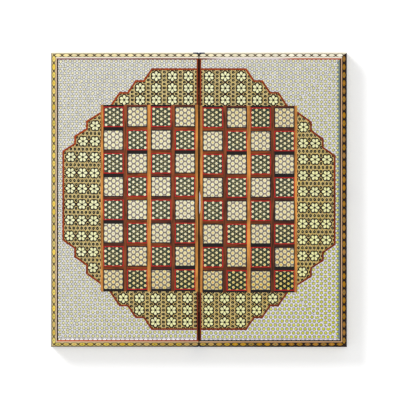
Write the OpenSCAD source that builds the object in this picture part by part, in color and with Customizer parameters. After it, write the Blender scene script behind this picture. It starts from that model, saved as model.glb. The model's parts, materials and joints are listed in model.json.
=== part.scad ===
// Folding marquetry chessboard: two shallow trays hinged along the seam, open flat with the chess side up.
// The seam runs along Y at x = 0, and the hinge knuckles stand on z = 0.

/* [Board] */
// Width across both halves when open
board_w = 500; // [480:2:540]
// Length along the seam
board_l = 498; // [480:2:540]
// Height of one half, from the rims to the chess face
case_h = 33.5; // [28:0.5:44]
// Gap between the two halves
seam_gap = 1.6; // [1.6:0.1:2]

/* [Case] */
// Thickness of the rails
rail_t = 9; // [8:0.5:12]
// Thickness of the panel that carries the marquetry
panel_t = 5; // [4:0.5:8]
// Thickness of every veneer
veneer_t = 1; // [0.8:0.1:1.2]
// Gap left at each mitre
mitre_gap = 0.05; // [0.02:0.01:0.1]

/* [Border] */
// Width of the dark lip outside the rope banding
lip_w = 1.6; // [1.2:0.1:2.4]
// Width of the rope banding
rope_w = 6.4; // [5:0.2:8]
// Width of the pale stringing
pale_w = 1.8; // [1.4:0.1:2.4]
// Width of the line inside the pale stringing
line_w = 2.2; // [1.6:0.1:2.6]
// Slope of the bevelled edge, in degrees
bevel = 15; // [8:1:20]
// Chamfer on the outer arris of the lip
arris = 0.6; // [0.3:0.1:0.8]

/* [Chess grid] */
// Distance between the strips of neighbouring columns
column_pitch = 40.3; // [38:0.1:40.6]
// Distance between the strips of neighbouring rows
row_pitch = 39.3; // [38:0.1:40]
// Distance from the middle of the seam to the first brown strip
first_strip_x = 43.8; // [43:0.2:45]
// Width of the long strips
strip_w = 5.8; // [5:0.2:7]
// Width of the strips at the grid's left and right edges
outer_strip_w = 4.2; // [3.6:0.2:6]
// Width of the strips beside the seam
seam_strip_w = 5.2; // [4.6:0.2:6]
// Height of the cross strips
cross_h = 4.8; // [4:0.2:6]
// Height of the strips above and below the grid
edge_strip_h = 3; // [2:0.2:4]
// Width of the stringing round each square
frame_w = 1.7; // [1.2:0.1:2.2]
// How far the left half's grid lies above the middle of the board
left_grid_lift = 2.7; // [0:0.1:3]
// How far the right half's grid lies above it
right_grid_lift = 1.1; // [0:0.1:3]

/* [Medallion] */
// Distance from the inner line to the middle of the stringing, above and below
end_margin = 17.3; // [15:0.1:20]
// The same distance at the outer sides
side_margin = 8.7; // [6:0.1:10]
// Half the straight run of the stringing above and below
end_flat = 79.4; // [76:0.2:84]
// Half the straight run of the stringing at the outer sides
side_flat = 75; // [72:0.5:76]
// Depth of each step
step_rise = 20; // [19.5:0.1:20.4]
// Length of a step above and below the grid
end_step = 13.6; // [13.2:0.1:13.8]
// Length of a step beside the grid, on the left half's upper corner
left_upper_step = 12.5; // [12:0.1:13]
// Length of a step on the left half's lower corner
left_lower_step = 14.2; // [13:0.1:14.4]
// Length of a step on the right half's upper corner
right_upper_step = 14.2; // [13:0.1:14.4]
// Length of a step on the right half's lower corner
right_lower_step = 13.2; // [13:0.1:14.4]
// Width of the stringing
string_w = 3.2; // [2.4:0.2:3.6]
// How far the end sheets lie above the middle
ends_lift = 1; // [0:0.2:1.2]
// How far the left side sheet lies above the middle
left_lift = 7.2; // [0:0.2:7.6]
// How far the right side sheet lies above it
right_lift = -0.8; // [-2:0.2:2]

/* [Inside] */
// Length of a point
point_l = 190; // [160:5:200]
// Width of a point at its foot
point_w = 33; // [28:0.5:35]

/* [Hinges] */
// Length of a hinge
hinge_l = 40; // [30:1:60]
// Distance from the middle hinge to the others
hinge_spacing = 170; // [100:5:190]
// Height of a leaf above the pin
leaf_h = 12; // [11:0.5:16]
// Thickness of a leaf
leaf_t = 0.8; // [0.7:0.05:0.8]
// Gap between the two leaves when the board is open
leaf_gap = 0.6; // [0.6:0.1:0.8]
// Outer radius of a knuckle
knuckle_r = 1.3; // [1.25:0.05:1.6]
// Radius of a hinge pin
pin_r = 0.65; // [0.55:0.05:0.7]
// Gap between the rims when the case is shut
shut_gap = 0.4; // [0.4:0.1:1]

/* [End plates] */
// Width of a plate along the end
plate_w = 9; // [8:0.5:12]
// Thickness of a plate
plate_t = 2.5; // [2:0.1:2.8]

/* [Screws] */
// Radius of a screw's head
head_r = 1.9; // [1.7:0.1:2.2]
// Depth of a screw's head
head_d = 1.3; // [1.1:0.1:1.5]
// Radius of a screw's shank
shank_r = 0.95; // [0.8:0.05:1.1]
// Length of a screw
screw_l = 7; // [5:0.5:7]

/* [Catch] */
// Depth of the pocket for the catch
pocket_d = 3.6; // [3.4:0.1:4]
// Height of the pivot and of the peg above the rim
pivot_h = 7; // [6:0.5:8]
// Width of the hook's arm
hook_w = 6.4; // [6:0.2:7]
// Thickness of the hook
hook_t = 1.5; // [1.2:0.1:1.6]
// Radius of the pivot's shoulder and of the peg
peg_r = 1.5; // [1.2:0.1:1.6]

/* [Hidden] */
$fn = 48;

// Which half a module makes
LEFT = -1;
RIGHT = 1;

// Where the case lies
half_w = board_w / 2;
half_l = board_l / 2;
seam_x = seam_gap / 2;
axis_z = knuckle_r;
rim_z = axis_z + shut_gap / 2;
top_z = rim_z + case_h;
panel_z = top_z - veneer_t;
rail_z = panel_z - panel_t;
wall_x = half_w - veneer_t;
wall_y = half_l - veneer_t;
inside_x = wall_x - rail_t;
inside_y = wall_y - rail_t;
past = 1;

// Where the border's bands begin, inwards from the outer face
edge_w = lip_w + rope_w;
line_at = edge_w + pale_w;
border_w = line_at + line_w;
field_x = half_w - border_w;
field_y = half_l - border_w;

// Where the grid lies
cell_h = row_pitch - cross_h;
half_grid = 4 * row_pitch - cross_h / 2 + edge_strip_h;
grid_x = first_strip_x + 3 * column_pitch - strip_w / 2 + outer_strip_w;
COLUMNS = [0 : 3];
ROWS = [0 : 7];

// The wood of each cross strip from the left, from the top edge down: b brown, d dark brown, k black
CROSS_WOODS = [
    "kdkdkdkd",
    "kbdbbbbd",
    "dkbkbkbk",
    "kbdbbbbk",
    "dbdbbdbd",
    "kbddbbbd",
    "dbbdkbkd",
    "bbdkbbdk",
    "kkkkkkkk"
];

// Where the medallion's stringing runs
end_y = field_y - end_margin;
side_x = field_x - side_margin;
steps = 3;

// Running clearance in a knuckle, and gap between two knuckles
running = 0.05;
knuckle_gap = 0.4;
knuckles = 5;
knuckle_pitch = (hinge_l + knuckle_gap) / knuckles;
clear_r = knuckle_r + knuckle_gap;
leaf_x = leaf_gap / 2;
HINGES_Y = [-hinge_spacing, 0, hinge_spacing];
SCREWS_Y = [-13, 0, 13] * hinge_l / 40;
screw_z = axis_z + leaf_h * 2 / 3;
slot_w = 0.5;
slot_d = 0.6;
tip_l = 1.2;

// Where the end plates' screws are
PLATE_SCREWS_Z = [rim_z + case_h * 0.22, rim_z + case_h * 0.66];

// Where the catch lies
pivot_z = rim_z + pivot_h;
hook_reach = 2 * (pivot_z - axis_z);
hook_end = hook_w / 2 + 0.8;
boss_r = hook_w / 2 + 0.6;
slot_r = peg_r + 0.2;
pocket_x = half_w - pocket_d;
pocket_back = boss_r + 1.2;
pocket_front = hook_reach + hook_end + 1.4;
pocket_h = pivot_h + boss_r + 1.2;
corner_r = 2;
floor_gap = 0.3;
head_gap = 0.15;
peg_head_r = 2.6;
peg_head_t = 1;
peg_shank_r = 1.2;
peg_shank_l = 5;

// Draws a right-hand shape on its own side
module on_half(side) {
    if (side == LEFT) mirror([1, 0, 0]) children();
    else children();
}

// Repeats a shape at both ends of the seam
module at_both_ends() {
    children();
    mirror([0, 1, 0]) children();
}

module box(low, high) {
    translate(low) cube(high - low);
}

module rectangle(low, high) {
    translate(low) square(high - low);
}

// A flat piece in the marquetry layer
module veneer() {
    translate([0, 0, panel_z]) linear_extrude(veneer_t) children();
}

// A flat piece in the veneer inside the tray
module inside_veneer() {
    translate([0, 0, rail_z - veneer_t]) linear_extrude(veneer_t) children();
}

// Screws and their holes
module screw_shape() {
    translate([0, 0, -head_d]) cylinder(h = head_d, r1 = shank_r, r2 = head_r);
    translate([0, 0, tip_l - screw_l]) cylinder(h = screw_l - head_d - tip_l, r = shank_r);
    translate([0, 0, -screw_l]) cylinder(h = tip_l, r1 = shank_r / 4, r2 = shank_r);
}

module screw() {
    difference() {
        screw_shape();
        box([-head_r - past, -slot_w / 2, -slot_d], [head_r + past, slot_w / 2, past]);
    }
}

// Puts a shape that points up its own Z at every leaf screw, head towards the seam
module at_leaf_screws() {
    for (hinge_y = HINGES_Y, screw_y = SCREWS_Y)
        translate([leaf_x, hinge_y + screw_y, screw_z]) rotate([0, -90, 0]) children();
}

// Puts it at every plate screw, head outwards
module at_plate_screws() {
    at_both_ends()
        for (z = PLATE_SCREWS_Z)
            translate([seam_x + plate_w / 2, half_l, z]) rotate([-90, 0, 0]) children();
}

// The bevelled edge: the height of its surface at a distance in from the outer face
function bevel_z(inwards) = top_z - (edge_w - inwards) * tan(bevel);

LIPPING = [
    [0, rail_z],
    [edge_w, rail_z],
    [edge_w, panel_z],
    [lip_w, bevel_z(lip_w) - veneer_t],
    [lip_w, bevel_z(lip_w)],
    [arris, bevel_z(arris)],
    [0, bevel_z(0) - arris]
];

ROPE = [
    [lip_w, bevel_z(lip_w) - veneer_t],
    [edge_w, panel_z],
    [edge_w, top_z],
    [lip_w, bevel_z(lip_w)]
];

// One mitred band along the outer side, in plan, and one along an end
module side_band(inwards, width) {
    x = half_w - inwards;
    y = half_l - inwards - mitre_gap;
    polygon([[x, y], [x - width, y - width], [x - width, width - y], [x, -y]]);
}

module end_band(inwards, width, from_x = seam_x) {
    x = half_w - inwards;
    y = half_l - inwards;
    polygon([[from_x, y], [x, y], [x - width, y - width], [from_x, y - width]]);
}

module flat_bands(inwards, width) {
    side_band(inwards, width);
    at_both_ends() end_band(inwards, width);
}

// A section drawn inwards and up from the outer face, run along the three edges and mitred
module edge_run(section, width) {
    intersection() {
        translate([0, half_l, 0]) rotate([90, 0, 0]) linear_extrude(board_l)
            polygon([for (p = section) [half_w - p.x, p.y]]);
        linear_extrude(top_z + past) side_band(0, width);
    }
    at_both_ends() intersection() {
        translate([seam_x, 0, 0]) rotate([90, 0, 90]) linear_extrude(half_w - seam_x)
            polygon([for (p = section) [half_l - p.x, p.y]]);
        linear_extrude(top_z + past) end_band(0, width);
    }
}

// The space that an end plate takes
module plate_shape() {
    translate([seam_x, 0, 0]) rotate([90, 0, 90]) linear_extrude(plate_w)
        polygon([
            [half_l, rim_z],
            [half_l, bevel_z(0) - arris],
            [half_l - arris, bevel_z(arris)],
            [half_l - plate_t, bevel_z(plate_t)],
            [half_l - plate_t, rim_z]
        ]);
}

module end_plates(side) {
    color("dimgray") on_half(side) difference() {
        at_both_ends() plate_shape();
        at_plate_screws() screw_shape();
    }
}

// The case
module panel(side) {
    color("burlywood") on_half(side)
        box([seam_x, edge_w - half_l, rail_z], [half_w - edge_w, half_l - edge_w, panel_z]);
}

module catch_pocket() {
    translate([pocket_x, 0, rim_z]) rotate([90, 0, 90]) linear_extrude(pocket_d + past) {
        rectangle([-pocket_back, -past], [pocket_front, pocket_h - corner_r]);
        rectangle([corner_r - pocket_back, 0], [pocket_front - corner_r, pocket_h]);
        for (y = [corner_r - pocket_back, pocket_front - corner_r])
            translate([y, pocket_h - corner_r]) circle(corner_r);
    }
}

module outer_rail(side) {
    color("sienna") on_half(side) difference() {
        box([inside_x, -inside_y, rim_z], [wall_x, inside_y, rail_z]);
        catch_pocket();
        headed_peg();
    }
}

module hinge_rail(side) {
    color("sienna") on_half(side) difference() {
        box([seam_x, -inside_y, rim_z], [seam_x + rail_t, inside_y, rail_z]);
        for (y = HINGES_Y) {
            box([0, y - hinge_l / 2, 0], [leaf_x + leaf_t, y + hinge_l / 2, axis_z + leaf_h]);
            box(
                [0, y - hinge_l / 2 - knuckle_gap, 0],
                [clear_r + running, y + hinge_l / 2 + knuckle_gap, axis_z + clear_r + running]
            );
        }
        at_leaf_screws() screw_shape();
    }
}

module end_rails(side) {
    color("sienna") on_half(side) difference() {
        at_both_ends() box([seam_x, inside_y, rim_z], [wall_x, wall_y, rail_z]);
        at_both_ends() plate_shape();
        at_plate_screws() screw_shape();
    }
}

module edge_lipping(side) {
    color("saddlebrown") on_half(side) difference() {
        edge_run(LIPPING, edge_w);
        at_both_ends() plate_shape();
    }
}

module side_banding(side) {
    color("goldenrod") on_half(side) difference() {
        translate([0, 0, rim_z]) linear_extrude(rail_z - rim_z) {
            side_band(0, veneer_t);
            at_both_ends() end_band(0, veneer_t, seam_x + plate_w);
        }
        catch_pocket();
    }
}

// The border on the chess face
module rope_banding(side) {
    color("darkkhaki") on_half(side) difference() {
        edge_run(ROPE, edge_w);
        at_both_ends() plate_shape();
    }
}

module pale_stringing(side) {
    color("tan") on_half(side) veneer() flat_bands(edge_w, pale_w);
}

module inner_line(side) {
    color("#5a2f1c") on_half(side) veneer() flat_bands(line_at, line_w);
}

// The medallion: its stepped edge runs along a flat and then down its steps
function stair(flat, height, run) = [
    for (step = [0 : steps - 1], part = [0, 1])
        [flat + (2 * step + part) * run, height - (step + part) * step_rise]
];
function with_half_step(path, run) = concat(path, [path[len(path) - 1] + [run, -step_rise] / 2]);
function reversed(list) = [for (i = [len(list) - 1 : -1 : 0]) list[i]];
function left_of(a, b) = let (d = (b - a) / norm(b - a)) [-d.y, d.x];
function beside(path, distance) = [
    for (i = [0 : len(path) - 1])
        let (
            before = left_of(path[max(i - 1, 0)], path[max(i, 1)]),
            after = left_of(path[min(i, len(path) - 2)], path[min(i + 1, len(path) - 1)])
        )
        path[i] + distance * (before + after) / (1 + before * after)
];

END_PATH = concat([[-end_step, end_y]], with_half_step(stair(end_flat, end_y, end_step), end_step));

// The edge of a side sheet, from its upper end to its lower one, with the stairs turned on their side
function upper_steps(run) = [for (p = with_half_step(stair(side_flat, side_x, run), run)) [p.y, p.x]];
function side_path(upper, lower) = concat(
    reversed(upper_steps(upper)),
    [for (p = upper_steps(lower)) [p.x, -p.y]]
);

LEFT_PATH = side_path(left_upper_step, left_lower_step);
RIGHT_PATH = side_path(right_upper_step, right_lower_step);

// The grid's middle height, top and foot on each half
function lift_of(side) = side == LEFT ? left_grid_lift : right_grid_lift;
function grid_top(side) = lift_of(side) + half_grid;
function grid_foot(side) = lift_of(side) - half_grid;

module grid_area(side) {
    rectangle([seam_x, grid_foot(side)], [grid_x, grid_top(side)]);
}

// The sheets above, below and beside the grid, grown by a distance past the middle of the stringing
module end_sheets(grown) {
    edge = beside(END_PATH, grown);
    foot = end_y - (steps + 1) * step_rise;
    translate([0, ends_lift]) at_both_ends()
        polygon(concat(edge, [[edge[len(edge) - 1].x, foot], [-end_step, foot]]));
}

module side_sheet(side, grown) {
    translate([0, side == LEFT ? left_lift : right_lift])
        polygon(beside(side == LEFT ? LEFT_PATH : RIGHT_PATH, grown));
}

module medallion(side, grown) {
    end_sheets(grown);
    side_sheet(side, grown);
}

module seam_string() {
    rectangle([seam_x, -field_y], [seam_x + string_w, field_y]);
}

module own_half() {
    intersection() {
        children();
        rectangle([seam_x, -half_l], [half_w, half_l]);
    }
}

module corner_field(side) {
    color("gainsboro") on_half(side) veneer() difference() {
        rectangle([seam_x, -field_y], [field_x, field_y]);
        medallion(side, string_w / 2);
        seam_string();
        grid_area(side);
    }
}

module side_medallion(side) {
    color("khaki") on_half(side) veneer() difference() {
        side_sheet(side, -string_w / 2);
        grid_area(side);
    }
}

module end_medallions(side) {
    color("khaki") on_half(side) veneer() own_half() difference() {
        end_sheets(-string_w / 2);
        seam_string();
        grid_area(side);
    }
}

module medallion_stringing(side) {
    color("#963c18") on_half(side) veneer() own_half() difference() {
        union() {
            difference() {
                medallion(side, string_w / 2);
                medallion(side, -string_w / 2);
            }
            seam_string();
        }
        grid_area(side);
    }
}

// The chess grid: columns count outwards from the seam, rows down from the top
function strip_x(k) = first_strip_x + (k - 1) * column_pitch;
function cell_left(c) = c == 0 ? seam_x + seam_strip_w : strip_x(c) + strip_w / 2;
function cell_right(c) = strip_x(c + 1) - strip_w / 2;
function cell_y(side, r) = lift_of(side) + (3.5 - r) * row_pitch;
function is_dark(side, c, r) = (c + r) % 2 == (side == LEFT ? 1 : 0);
function wood_of(side, c, line) = CROSS_WOODS[line][side == LEFT ? 3 - c : 4 + c];

module long_strip(side, k) {
    left = k == 0 ? seam_x : strip_x(k) - strip_w / 2;
    right = k == 0 ? seam_x + seam_strip_w : k == 4 ? grid_x : strip_x(k) + strip_w / 2;
    rectangle([left, grid_foot(side)], [right, grid_top(side)]);
}

module orange_strips(side) {
    color("#c47c42") on_half(side) veneer() for (k = [0, 2, 4]) long_strip(side, k);
}

module brown_strips(side) {
    color("#7a4026") on_half(side) veneer() for (k = [1, 3]) long_strip(side, k);
}

// The line-th row of cross strips: the first and last are the thin ones at the grid's edges
module cross_strip(side, c, line) {
    below = line == 8 ? grid_foot(side) : cell_y(side, line) + cell_h / 2;
    above = line == 0 ? grid_top(side) : cell_y(side, line - 1) - cell_h / 2;
    rectangle([cell_left(c), below], [cell_right(c), above]);
}

module cross_strips(side, wood) {
    on_half(side) veneer()
        for (c = COLUMNS, line = [0 : 8])
            if (wood_of(side, c, line) == wood) cross_strip(side, c, line);
}

module cell(side, c, r, inwards) {
    rectangle(
        [cell_left(c) + inwards, cell_y(side, r) - cell_h / 2 + inwards],
        [cell_right(c) - inwards, cell_y(side, r) + cell_h / 2 - inwards]
    );
}

module squares(side, dark) {
    on_half(side) veneer()
        for (c = COLUMNS, r = ROWS)
            if (is_dark(side, c, r) == dark) cell(side, c, r, frame_w);
}

module frames(side, dark) {
    on_half(side) veneer()
        for (c = COLUMNS, r = ROWS)
            if (is_dark(side, c, r) == dark)
                difference() {
                    cell(side, c, r, 0);
                    cell(side, c, r, frame_w);
                }
}

// The backgammon field inside
points = 6;
point_pitch = (inside_x - seam_x - rail_t) / points;

module point(i) {
    x = seam_x + rail_t + (i + 0.5) * point_pitch;
    polygon([
        [x - point_w / 2, inside_y],
        [x + point_w / 2, inside_y],
        [x, inside_y - point_l]
    ]);
}

// The points of one wood: they alternate, and face the other wood across the field
module field_points(first) {
    for (i = [0 : points - 1])
        if (i % 2 == first) point(i);
        else mirror([0, 1]) point(i);
}

module playing_field(side) {
    color("peru") on_half(side) inside_veneer() difference() {
        rectangle([seam_x + rail_t, -inside_y], [inside_x, inside_y]);
        field_points(0);
        field_points(1);
    }
}

module light_points(side) {
    color("wheat") on_half(side) inside_veneer() field_points(side == LEFT ? 0 : 1);
}

module dark_points(side) {
    color("#3a2418") on_half(side) inside_veneer() field_points(side == LEFT ? 1 : 0);
}

// The hinges: the left leaf carries the odd knuckles, the right leaf the even ones
module knuckle_span(i, wider) {
    from = -hinge_l / 2 + i * knuckle_pitch - wider;
    translate([0, from, axis_z]) rotate([-90, 0, 0])
        cylinder(h = knuckle_pitch - knuckle_gap + 2 * wider, r = knuckle_r);
}

module leaf(own, bore_r) {
    difference() {
        union() {
            box([leaf_x, -hinge_l / 2, axis_z], [leaf_x + leaf_t, hinge_l / 2, axis_z + leaf_h]);
            for (i = [own : 2 : knuckles - 1]) knuckle_span(i, 0);
        }
        for (i = [1 - own : 2 : knuckles - 1]) {
            from = -hinge_l / 2 + i * knuckle_pitch - knuckle_gap;
            box(
                [-knuckle_r, from, 0],
                [clear_r, from + knuckle_pitch + knuckle_gap, axis_z + clear_r]
            );
        }
        translate([0, -hinge_l / 2 - past, axis_z]) rotate([-90, 0, 0])
            cylinder(h = hinge_l + 2 * past, r = bore_r);
    }
}

module hinge_leaves(side) {
    color("goldenrod") on_half(side) difference() {
        for (y = HINGES_Y)
            translate([0, y, 0]) leaf(side == LEFT ? 0 : 1, side == LEFT ? pin_r : pin_r + running);
        at_leaf_screws() screw_shape();
    }
}

module hinge_pins() {
    color("silver") for (y = HINGES_Y)
        translate([0, y - hinge_l / 2, axis_z]) rotate([-90, 0, 0]) cylinder(h = hinge_l, r = pin_r);
}

module screws(side) {
    color("gold") on_half(side) {
        at_leaf_screws() screw();
        at_plate_screws() screw();
    }
}

// The catch: a headed peg in each pocket, and the hook that turns on the left one
module headed_peg() {
    translate([pocket_x, 0, pivot_z]) rotate([0, 90, 0]) {
        translate([0, 0, -peg_shank_l]) cylinder(h = peg_shank_l, r = peg_shank_r);
        cylinder(h = floor_gap + hook_t + head_gap, r = peg_r);
        translate([0, 0, floor_gap + hook_t + head_gap]) cylinder(h = peg_head_t, r = peg_head_r);
    }
}

module catch_screw() {
    color("darkgoldenrod") on_half(LEFT) headed_peg();
}

module catch_peg() {
    color("darkgoldenrod") on_half(RIGHT) headed_peg();
}

// The hook in its own plane: the arm runs along its X, and the peg comes in from below along an arc
module hook_outline() {
    difference() {
        union() {
            circle(boss_r);
            rectangle([0, -hook_w / 2], [hook_reach, hook_w / 2]);
            translate([hook_reach, 0]) circle(hook_end);
        }
        circle(peg_r + running);
        translate([hook_reach, 0]) circle(slot_r);
        intersection() {
            difference() {
                circle(hook_reach + slot_r);
                circle(hook_reach - slot_r);
            }
            rectangle([0, -hook_reach / 2], [hook_reach + slot_r, 0]);
        }
    }
}

module catch_hook() {
    color("goldenrod") on_half(LEFT)
        translate([pocket_x + floor_gap, 0, pivot_z]) rotate([90, 0, 90])
            linear_extrude(hook_t) hook_outline();
}

panel(LEFT);  // left_panel
outer_rail(LEFT);  // left_outer_rail
hinge_rail(LEFT);  // left_hinge_rail
end_rails(LEFT);  // left_end_rails
edge_lipping(LEFT);  // left_edge_lipping
side_banding(LEFT);  // left_side_banding
rope_banding(LEFT);  // left_rope_banding
pale_stringing(LEFT);  // left_pale_stringing
inner_line(LEFT);  // left_inner_line
corner_field(LEFT);  // left_corner_field
side_medallion(LEFT);  // left_side_medallion
end_medallions(LEFT);  // left_end_medallions
medallion_stringing(LEFT);  // left_medallion_stringing
orange_strips(LEFT);  // left_orange_strips
brown_strips(LEFT);  // left_brown_strips
color("#7e4116") cross_strips(LEFT, "b");  // left_cross_strips_brown
color("#623621") cross_strips(LEFT, "d");  // left_cross_strips_dark
color("#302620") cross_strips(LEFT, "k");  // left_cross_strips_black
color("darkslategray") squares(LEFT, true);  // left_dark_squares
color("lightgray") squares(LEFT, false);  // left_light_squares
color("firebrick") frames(LEFT, true);  // left_red_frames
color("#232628") frames(LEFT, false);  // left_black_frames
playing_field(LEFT);  // left_playing_field
light_points(LEFT);  // left_light_points
dark_points(LEFT);  // left_dark_points
end_plates(LEFT);  // left_end_plates
hinge_leaves(LEFT);  // left_hinge_leaves
screws(LEFT);  // left_screws
panel(RIGHT);  // right_panel
outer_rail(RIGHT);  // right_outer_rail
hinge_rail(RIGHT);  // right_hinge_rail
end_rails(RIGHT);  // right_end_rails
edge_lipping(RIGHT);  // right_edge_lipping
side_banding(RIGHT);  // right_side_banding
rope_banding(RIGHT);  // right_rope_banding
pale_stringing(RIGHT);  // right_pale_stringing
inner_line(RIGHT);  // right_inner_line
corner_field(RIGHT);  // right_corner_field
side_medallion(RIGHT);  // right_side_medallion
end_medallions(RIGHT);  // right_end_medallions
medallion_stringing(RIGHT);  // right_medallion_stringing
orange_strips(RIGHT);  // right_orange_strips
brown_strips(RIGHT);  // right_brown_strips
color("#7e4116") cross_strips(RIGHT, "b");  // right_cross_strips_brown
color("#623621") cross_strips(RIGHT, "d");  // right_cross_strips_dark
color("#302620") cross_strips(RIGHT, "k");  // right_cross_strips_black
color("darkslategray") squares(RIGHT, true);  // right_dark_squares
color("lightgray") squares(RIGHT, false);  // right_light_squares
color("firebrick") frames(RIGHT, true);  // right_red_frames
color("#232628") frames(RIGHT, false);  // right_black_frames
playing_field(RIGHT);  // right_playing_field
light_points(RIGHT);  // right_light_points
dark_points(RIGHT);  // right_dark_points
end_plates(RIGHT);  // right_end_plates
hinge_leaves(RIGHT);  // right_hinge_leaves
screws(RIGHT);  // right_screws
hinge_pins();
catch_hook();
catch_screw();
catch_peg();
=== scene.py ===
import json
import math
import random
from functools import partial
from itertools import groupby

import bpy
from bpy.props import FloatProperty, FloatVectorProperty, IntProperty, PointerProperty
from bpy.types import Operator, Panel, PropertyGroup
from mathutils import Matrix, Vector
from mathutils.geometry import delaunay_2d_cdt, intersect_point_line

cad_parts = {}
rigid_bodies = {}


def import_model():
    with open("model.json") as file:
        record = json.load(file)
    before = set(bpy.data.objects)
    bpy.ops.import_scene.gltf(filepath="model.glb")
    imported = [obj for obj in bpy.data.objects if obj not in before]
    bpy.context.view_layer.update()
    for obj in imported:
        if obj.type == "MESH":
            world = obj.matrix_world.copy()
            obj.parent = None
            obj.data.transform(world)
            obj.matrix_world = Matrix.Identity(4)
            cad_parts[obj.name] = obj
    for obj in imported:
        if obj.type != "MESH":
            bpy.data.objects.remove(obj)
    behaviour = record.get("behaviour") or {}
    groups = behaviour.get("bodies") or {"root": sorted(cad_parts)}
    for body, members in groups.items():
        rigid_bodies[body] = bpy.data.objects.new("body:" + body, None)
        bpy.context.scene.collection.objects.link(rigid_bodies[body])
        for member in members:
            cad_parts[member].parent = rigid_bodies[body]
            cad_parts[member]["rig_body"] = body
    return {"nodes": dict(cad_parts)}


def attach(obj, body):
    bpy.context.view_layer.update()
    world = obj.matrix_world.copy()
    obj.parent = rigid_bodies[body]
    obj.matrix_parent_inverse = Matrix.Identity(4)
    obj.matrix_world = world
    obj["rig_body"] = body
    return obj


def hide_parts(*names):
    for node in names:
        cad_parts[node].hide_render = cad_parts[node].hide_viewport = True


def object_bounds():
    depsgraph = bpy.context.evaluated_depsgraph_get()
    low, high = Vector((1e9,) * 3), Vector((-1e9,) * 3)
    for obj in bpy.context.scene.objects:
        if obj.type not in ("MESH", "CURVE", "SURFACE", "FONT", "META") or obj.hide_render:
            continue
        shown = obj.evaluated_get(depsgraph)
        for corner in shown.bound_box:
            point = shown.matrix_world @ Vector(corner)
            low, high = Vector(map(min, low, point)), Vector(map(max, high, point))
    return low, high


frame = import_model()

bl_info = {
    "name": "Folding khatam chessboard",
    "version": (1, 0, 0),
    "blender": (4, 5, 0),
    "location": "3D View > Sidebar > Chessboard",
    "description": "Lays the khatam, woods and fittings of a folding chessboard",
    "category": "Object",
}

CAD_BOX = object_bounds()
HALF_X, HALF_Y, TOP = CAD_BOX[1]
SIDES = ("left", "right")
X, Y, Z = Vector((1, 0, 0)), Vector((0, 1, 0)), Vector((0, 0, 1))

# A plane to lay inlay on: across, up and the way it faces
CHESS_FACE = (X, Y, Z)
WALLS = {"outer": {"left": (-Y, Z, -X), "right": (Y, Z, X)}, "top": (-X, Z, Y), "bottom": (X, Z, -Y)}


def linear(code):
    """Turns an sRGB hex colour to linear."""
    parts = [int(code[i:i + 2], 16) / 255 for i in (0, 2, 4)]
    return tuple(c / 12.92 if c <= 0.04045 else ((c + 0.055) / 1.055) ** 2.4 for c in parts)


def length(name, text, mm):
    return FloatProperty(name=name, description=text, default=mm / 1000, min=0, unit="LENGTH",
                         subtype="DISTANCE", precision=5)


def colour(name, text, code):
    return FloatVectorProperty(name=name, description=text, default=linear(code), min=0, max=1,
                               subtype="COLOR")


# The second copy of a rod colour, for painted light and shade: a gradient across the board mixes each rod
# towards it
def lighted(name, code):
    return colour(f"{name}, faded", "The same where light has faded it", code)


def dulled(name, code):
    return colour(f"{name}, dulled", "The same between the rubbed places", code)


class InlaySizes(PropertyGroup):
    """Sizes of the khatam and of the banding"""
    star_pitch: length("Star pitch", "Between two star units of a row in the corner fields", 7.75)
    star_row: length("Star row", "Between two rows of star units", 6.7)
    ring_pitch: length("Ring pitch", "Between two ring units of a row in the medallions", 6.7)
    petal_length: length("Petal length", "From a flower's centre to the tip of a petal", 8.15)
    petal_width: length("Petal width", "Widest part of a petal", 4.45)
    dark_pitch: length("Dark dot pitch", "Between two dots of a column on the dark squares", 8.5)
    dark_column: length("Dark dot columns", "Between two columns of dots on the dark squares", 6.45)
    dark_dot: length("Dark square's dot", "Radius of a dot on the dark squares", 2.2)
    light_pitch: length("Light dot pitch", "Between two dots of a column on the light squares", 9.1)
    light_column: length("Light dot columns", "Between two columns of dots on the light squares", 6.35)
    light_dot: length("Light square's dot", "Radius of a dot on the light squares", 2.85)
    rope_pitch: length("Rope pitch", "Length of one eye of the rope banding", 13.6)
    rope_strand: length("Rope strand", "Thickness of a dark strand where two cross", 1.9)
    veneer: length("Veneer", "Thickness of the khatam", 1.0)
    seed: IntProperty(name="Seed", description="Picks each rod's tone and each square's cut", default=7)


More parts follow.
